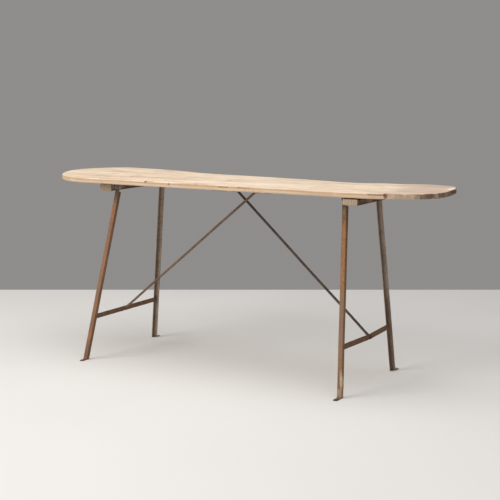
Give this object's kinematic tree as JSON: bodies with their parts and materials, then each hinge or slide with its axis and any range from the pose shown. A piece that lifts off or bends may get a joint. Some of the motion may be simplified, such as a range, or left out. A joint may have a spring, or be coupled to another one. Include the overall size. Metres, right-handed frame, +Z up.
{
  "type": "folding ironing board",
  "caption": "Long wooden ironing board, wide and round at its left end and narrower at its right, on folding angle-iron trestles with crossed rod braces.",
  "frame": {"origin": "on the floor, under the centre of the whole object's box", "axes": "+X along the board towards its narrower end, +Y across the board towards the rear, +Z up"},
  "size_m": [1.84, 0.57, 0.78],
  "materials": {
    "board_wood": "dry, worn, unvarnished softwood with knots",
    "cleat_wood": "rough sawn, aged",
    "leg_iron": "matt, all over light brown rust",
    "crossbar_iron": "matt, dark brown rust",
    "brace_iron": "matt, dark brown rust",
    "bracket_iron": "matt, dull grey brown",
    "fastener_iron": "matt, dark"
  },
  "bodies": {
    "root": {"board": "board_wood", "left_cleat": "cleat_wood", "left_front_hinge_bracket": "bracket_iron", "left_front_hinge_bolt": "fastener_iron", "left_front_hinge_nut": "fastener_iron", "left_front_bracket_screw_1": "fastener_iron", "left_front_bracket_screw_2": "fastener_iron", "left_front_cleat_screw": "fastener_iron", "left_rear_hinge_bracket": "bracket_iron", "left_rear_hinge_bolt": "fastener_iron", "left_rear_hinge_nut": "fastener_iron", "left_rear_bracket_screw_1": "fastener_iron", "left_rear_bracket_screw_2": "fastener_iron", "left_rear_cleat_screw": "fastener_iron", "left_catch": "bracket_iron", "left_catch_screw_1": "fastener_iron", "left_catch_screw_2": "fastener_iron", "right_cleat": "cleat_wood", "right_front_hinge_bracket": "bracket_iron", "right_front_hinge_bolt": "fastener_iron", "right_front_hinge_nut": "fastener_iron", "right_front_bracket_screw_1": "fastener_iron", "right_front_bracket_screw_2": "fastener_iron", "right_front_cleat_screw": "fastener_iron", "right_rear_hinge_bracket": "bracket_iron", "right_rear_hinge_bolt": "fastener_iron", "right_rear_hinge_nut": "fastener_iron", "right_rear_bracket_screw_1": "fastener_iron", "right_rear_bracket_screw_2": "fastener_iron", "right_rear_cleat_screw": "fastener_iron", "right_catch": "bracket_iron", "right_catch_screw_1": "fastener_iron", "right_catch_screw_2": "fastener_iron"},
    "left_trestle": {"left_front_leg": "leg_iron", "left_front_crossbar_rivet": "fastener_iron", "left_rear_leg": "leg_iron", "left_rear_crossbar_rivet": "fastener_iron", "left_crossbar": "crossbar_iron"},
    "right_trestle": {"right_front_leg": "leg_iron", "right_front_crossbar_rivet": "fastener_iron", "right_rear_leg": "leg_iron", "right_rear_crossbar_rivet": "fastener_iron", "right_crossbar": "crossbar_iron"},
    "left_brace": {"left_brace": "brace_iron"},
    "right_brace": {"right_brace": "brace_iron"}
  },
  "joints": [
    {"name": "left_trestle_fold", "type": "hinge", "parent": "root", "child": "left_trestle", "pos_m": [-0.496, 0, 0.745], "axis": [0, -1, 0], "range_deg": [0, 80.5]},
    {"name": "right_trestle_fold", "type": "hinge", "parent": "root", "child": "right_trestle", "pos_m": [0.556, 0, 0.745], "axis": [0, 1, 0], "range_deg": [0, 81.5]},
    {"name": "left_brace_turn", "type": "hinge", "parent": "left_trestle", "child": "left_brace", "pos_m": [-0.58663, 0, 0.187], "axis": [0, -1, 0], "range_deg": [-114.81, 0]},
    {"name": "right_brace_turn", "type": "hinge", "parent": "right_trestle", "child": "right_brace", "pos_m": [0.59233, 0, 0.19], "axis": [0, 1, 0], "range_deg": [-118.67, 0]}
  ],
  "couplings": [
    {"joint": "left_brace_turn", "follows": "left_trestle_fold", "ratio": -1.42},
    {"joint": "right_brace_turn", "follows": "right_trestle_fold", "ratio": -1.45}
  ]
}
